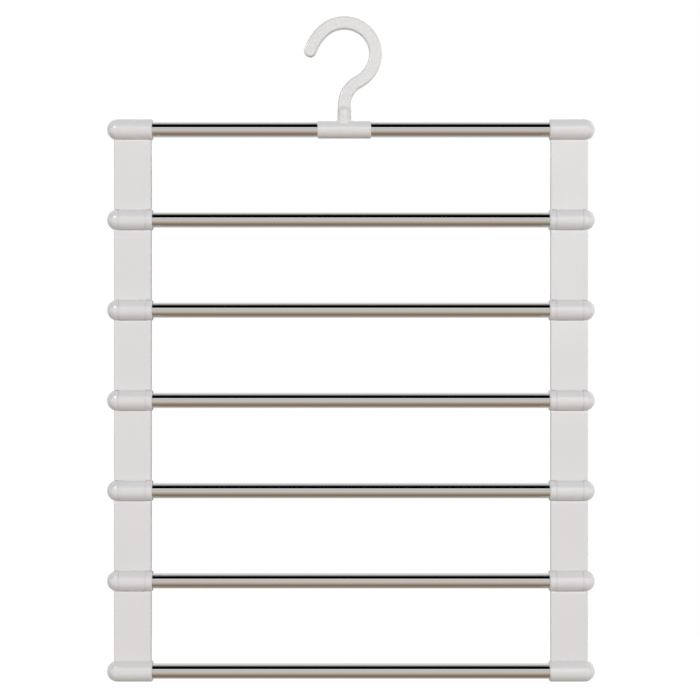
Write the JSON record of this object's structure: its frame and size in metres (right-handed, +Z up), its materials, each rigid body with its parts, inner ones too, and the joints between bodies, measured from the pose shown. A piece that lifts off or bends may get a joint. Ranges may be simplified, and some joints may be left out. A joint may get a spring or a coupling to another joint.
{
  "type": "folding multi-tier trouser hanger",
  "caption": "Folding trouser hanger: rows of metal tubes between hinged plastic links, under a hook that turns on the top tube; it folds up like an accordion.",
  "frame": {"origin": "centre of the hook's round, on the line of the rail that the hook hangs on", "axes": "+Z up, +X to the right seen from the front, +Y to the back, along the rail"},
  "size_m": [0.38, 0.0164, 0.5182],
  "materials": {
    "white_plastic": "smooth moulded plastic, half gloss",
    "polished_steel": "polished stainless steel tube"
  },
  "bodies": {
    "hook": {"hook": "white_plastic"},
    "tier_1": {"bar_1": "polished_steel", "left_link_1": "white_plastic", "right_link_1": "white_plastic"},
    "tier_2": {"bar_2": "polished_steel", "left_link_2": "white_plastic", "right_link_2": "white_plastic"},
    "tier_3": {"bar_3": "polished_steel", "left_link_3": "white_plastic", "right_link_3": "white_plastic"},
    "tier_4": {"bar_4": "polished_steel", "left_link_4": "white_plastic", "right_link_4": "white_plastic"},
    "tier_5": {"bar_5": "polished_steel", "left_link_5": "white_plastic", "right_link_5": "white_plastic"},
    "tier_6": {"bar_6": "polished_steel", "left_link_6": "white_plastic", "right_link_6": "white_plastic", "bar_7": "polished_steel"}
  },
  "joints": [
    {"name": "hook_swing", "type": "hinge", "parent": "hook", "child": "tier_1", "pos_m": [0.0052, 0, -0.059], "axis": [1, 0, 0], "range_deg": [-160, 80]},
    {"name": "fold_2", "type": "hinge", "parent": "tier_1", "child": "tier_2", "pos_m": [0.0052, 0, -0.1293], "axis": [1, 0, 0], "range_deg": [0, 150]},
    {"name": "fold_3", "type": "hinge", "parent": "tier_2", "child": "tier_3", "pos_m": [0.0052, 0, -0.1996], "axis": [1, 0, 0], "range_deg": [-150, 0]},
    {"name": "fold_4", "type": "hinge", "parent": "tier_3", "child": "tier_4", "pos_m": [0.0052, 0, -0.2699], "axis": [1, 0, 0], "range_deg": [0, 150]},
    {"name": "fold_5", "type": "hinge", "parent": "tier_4", "child": "tier_5", "pos_m": [0.0052, 0, -0.3402], "axis": [1, 0, 0], "range_deg": [-150, 0]},
    {"name": "fold_6", "type": "hinge", "parent": "tier_5", "child": "tier_6", "pos_m": [0.0052, 0, -0.4105], "axis": [1, 0, 0], "range_deg": [0, 150]}
  ],
  "couplings": [
    {"joint": "fold_3", "follows": "fold_2", "ratio": -1},
    {"joint": "fold_4", "follows": "fold_2", "ratio": 1},
    {"joint": "fold_5", "follows": "fold_2", "ratio": -1},
    {"joint": "fold_6", "follows": "fold_2", "ratio": 1}
  ]
}
